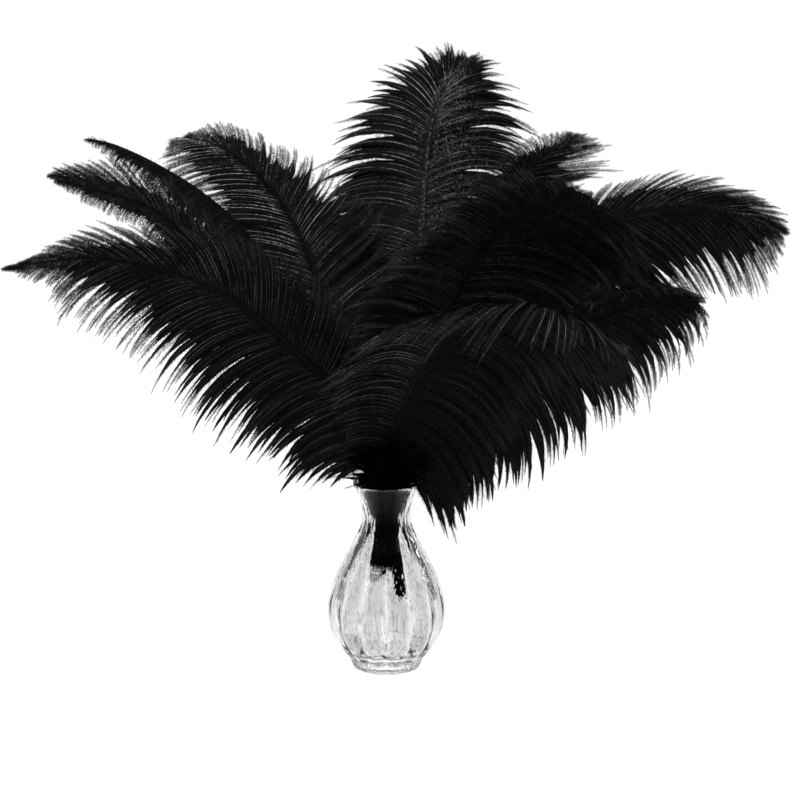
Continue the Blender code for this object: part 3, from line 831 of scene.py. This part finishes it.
def add_vane(fluff, plume, shaft, random):
    """Both rows of barbs, with their webs and barbules."""
    both = zip(plume.droop, plume.curl, plume.wool, plume.hair, plume.arch, plume.gloss_and_painted_highlight)
    rows = ((-1, plume.left, plume.left_sweep), (1, plume.right, plume.right_sweep))
    along = np.linspace(0.0, 1.0, BARB_STEPS + 1)
    tip = plume.hair[2]
    for row, (droop, curl, wool, hair, arch, gloss_and_painted_highlight) in zip(rows, both):
        vane, length, paths, normals, gleam = lay_barbs(
            plume, shaft, random, *row, droop, curl, arch
        )
        count = len(paths)
        thin = np.linspace(1.0, 0.0, BARB_STEPS + 1) ** 0.8 * (BARB_RADIUS - BARB_TIP_RADIUS)
        radii = BARB_TIP_RADIUS + thin * random.uniform(0.8, 1.2, (count, 1))
        # Each side's gloss and painted highlight, varied at random from barb to barb, rising up the
        # vane and along each barb
        tone = gloss_and_painted_highlight * np.clip(1 + 0.45 * random.normal(0, 1, count) + 0.35 * gleam, 0.1, 2.2)
        tone = tone * read_off(vane, VANE_GLOSS_AND_PAINTED_HIGHLIGHT)
        tone = tone[:, None] * read_off(along, BARB_GLOSS_AND_PAINTED_HIGHLIGHT)
        fluff.tubes(paths, radii, normals, BARB_SIDES, BARB_KIND, tone)
        web = at_vane((hair + 0.05, hair, (hair + tip) / 2, tip), vane)[:, None]
        wide = np.minimum(WEB_WIDTH, 0.06 * length + 0.0004)[:, None]
        # The fluff's painted light, set per plume, varied at random, lighter towards the barb ends
        fluff_painted_light = random.uniform(0.0, 2.0 * plume.fluff_painted_light, (count, 1)) * read_off(along, END_PAINTED_LIGHT)
        add_webs(fluff, paths, normals, random, wide, web, fluff_painted_light)
        spacing, size = BARBULE_SPACING, BARBULE_LENGTH
        add_barbules(fluff, paths, length, normals, random, spacing, size, wool, web)


def add_wool(fluff, shaft, random):
    """Short upstanding wool along both edges of the shaft."""
    shares = np.linspace(shaft.bare, 1.0, VANE_RINGS)
    facing = shaft.directions(shares)[2]
    length = np.array([(1 - shaft.bare) * shaft.length])
    paths = shaft.places(shares)[None] + facing[None] * WOOL_HEIGHT
    add_barbules(fluff, paths, length, facing[None], random, WOOL_SPACING, WOOL_LENGTH, wool=2.0)


def add_down(fluff, plume, shaft, random):
    """Soft down round the quill in the neck, kept in the bore, and longer down above the mouth."""
    lower = slice(0, len(shaft.curve) // 3)
    heights, along = shaft.curve[lower, 2], shaft.along[lower]
    lowest = np.interp(max(DOWN_FROM, plume.lowest + 0.001), heights, along)
    rim = np.interp(RIM_DOWN_FROM, heights, along)
    top = shaft.bare + MOUTH_DOWN_PAST_BARE
    # How many, from and to where, how steeply up the shaft and how long
    groups = (
        (NECK_DOWN, (lowest, shaft.mouth), (-2.6, -0.6), NECK_DOWN_LENGTH),
        (RIM_DOWN, (rim, shaft.mouth), (-0.4, 0.7), RIM_DOWN_LENGTH),
        (MOUTH_DOWN, (shaft.mouth, top), (-0.1, 1.2), MOUTH_DOWN_LENGTH),
    )
    shares = np.concatenate([random.uniform(*span, many) for many, span, _, _ in groups])
    slope = np.concatenate([random.uniform(*slopes, many) for many, _, slopes, _ in groups])
    length = np.concatenate([size * random.uniform(0.6, 1.3, many) for many, _, _, size in groups])
    count = len(shares)
    roots = shaft.places(shares)
    turn = random.uniform(0, math.tau, count)
    tangent, right, facing = shaft.directions(shares)
    level = right * np.cos(turn)[:, None] + facing * np.sin(turn)[:, None]
    headings = unit(level + tangent * slope[:, None])
    straight = np.zeros_like(level)
    paths = bend_barbs(roots, headings, length, DOWN_DROOP, straight, straight)
    down = Fluff()
    around = np.cross(tangent, level)
    normals = spread_out(unit(np.cross(headings, around)), paths)
    thin = np.linspace(1.0, 0.2, BARB_STEPS + 1) * np.full((count, 1), DOWN_RADIUS)
    # The down in the lip is webs alone
    fine = np.r_[:NECK_DOWN, NECK_DOWN + RIM_DOWN:count]
    down.tubes(paths[fine], thin[fine], normals[fine], BARB_SIDES, FLUFF_KIND)
    add_webs(down, paths, normals, random, WEB_WIDTH, DOWN_WEB_ENDS)
    paths, length, normals = paths[fine], length[fine], normals[fine]
    add_barbules(down, paths, length, normals, random, BARBULE_SPACING, BARBULE_LENGTH)
    places = np.concatenate(down.places)
    radius = np.hypot(places[:, 0], places[:, 1])
    most = read_off(places[:, 2], DOWN_REACH)
    low = (places[:, 2] < VASE_HEIGHT + 0.001) & (radius > most)
    places[low, :2] *= (most[low] / radius[low])[:, None]
    start = 0
    for part, triangles, kinds in zip(down.places, down.triangles, down.kinds):
        stop = start + len(part)
        fluff.add(places[start:stop], triangles - start, kinds[0], DOWN_PAINTED_LIGHT)
        start = stop


def make_plume(number, plume, materials):
    random = np.random.default_rng(SEED + number)
    shaft = Shaft(plume)
    fluff = Fluff()
    point = np.array(POINT_LENGTHS) / shaft.length
    shares = np.concatenate([point, np.linspace(0.0, 1.0, SHAFT_STEPS)[1:]])
    radii = QUILL_RADIUS + (SHAFT_TIP_RADIUS - QUILL_RADIUS) * shares
    radii[:len(point)] *= POINT_SHARES
    facing = shaft.directions(shares)[2]
    fluff.tubes(shaft.places(shares)[None], radii[None], facing[None], SHAFT_SIDES, SHAFT_KIND)
    add_vane(fluff, plume, shaft, random)
    if max(plume.wool) > 0:
        add_wool(fluff, shaft, random)
    add_down(fluff, plume, shaft, random)
    name = plume.name.replace("feather", "plume")
    obj = bpy.data.objects.new(name, fluff.mesh(name))
    bpy.context.scene.collection.objects.link(obj)
    for material in materials:
        obj.data.materials.append(material)
    return obj


# ---------------------------------------------------------------- stage


def make_camera():
    pitch = math.radians(CAMERA_PITCH)
    across, up = CAMERA_AIM
    place = (
        across,
        up * math.sin(pitch) - CAMERA_DISTANCE * math.cos(pitch),
        up * math.cos(pitch) + CAMERA_DISTANCE * math.sin(pitch),
    )
    data = bpy.data.cameras.new("camera")
    data.lens = CAMERA_LENS
    camera = bpy.data.objects.new("camera", data)
    camera.location = place
    camera.rotation_euler = (math.radians(90 - CAMERA_PITCH), 0, 0)
    bpy.context.scene.collection.objects.link(camera)
    bpy.context.scene.camera = camera


def make_light(name, place, aim, size, power):
    data = bpy.data.lights.new(name, "AREA")
    data.shape = "RECTANGLE"
    data.size, data.size_y = size
    data.energy = power
    light = bpy.data.objects.new(name, data)
    light.location = place
    toward = np.array(aim) - np.array(place)
    light.rotation_euler = (
        math.atan2(math.hypot(toward[0], toward[1]), -toward[2]),
        0,
        math.atan2(toward[1], toward[0]) - math.pi / 2,
    )
    bpy.context.scene.collection.objects.link(light)


def make_stage():
    bpy.ops.object.select_all(action="DESELECT")
    bpy.ops.mesh.primitive_plane_add(size=1.0, location=STUDIO_FLOOR_PLACE)
    floor = active()
    floor.name = "studio_floor"
    bpy.ops.object.mode_set(mode="EDIT")
    bpy.ops.transform.resize(value=STUDIO_FLOOR_SIZE)
    bpy.ops.object.mode_set(mode="OBJECT")
    floor.data.materials.append(floor_finish())
    world = bpy.data.worlds.new("studio")
    bpy.context.scene.world = world
    world.use_nodes = True
    background = world.node_tree.nodes["Background"]
    background.inputs["Color"].default_value = grey(STUDIO_GREY)
    background.inputs["Strength"].default_value = 1.0
    for number, (turn, power) in enumerate(STRIPS):
        angle = math.radians(turn)
        place = (STRIP_DISTANCE * math.sin(angle), -STRIP_DISTANCE * math.cos(angle), STRIP_HEIGHT)
        make_light("strip_%d" % number, place, STRIP_AIM, STRIP_SIZE, power)
    for panel in PANELS:
        make_light(*panel)
    bpy.context.scene.view_settings.view_transform = "Standard"


# ---------------------------------------------------------------- making


make_camera()
vase = make_vase()
vase.data.materials.clear()
vase.data.materials.append(glass_finish())
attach(vase, "root")
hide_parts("vase")
feather = (shaft_finish(), barb_finish(), barbule_finish(), wool_finish())
for number, plume in enumerate(PLUMES):
    piece = make_plume(number, plume, feather)
    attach(piece, "root")
    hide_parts(plume.name)
make_stage()
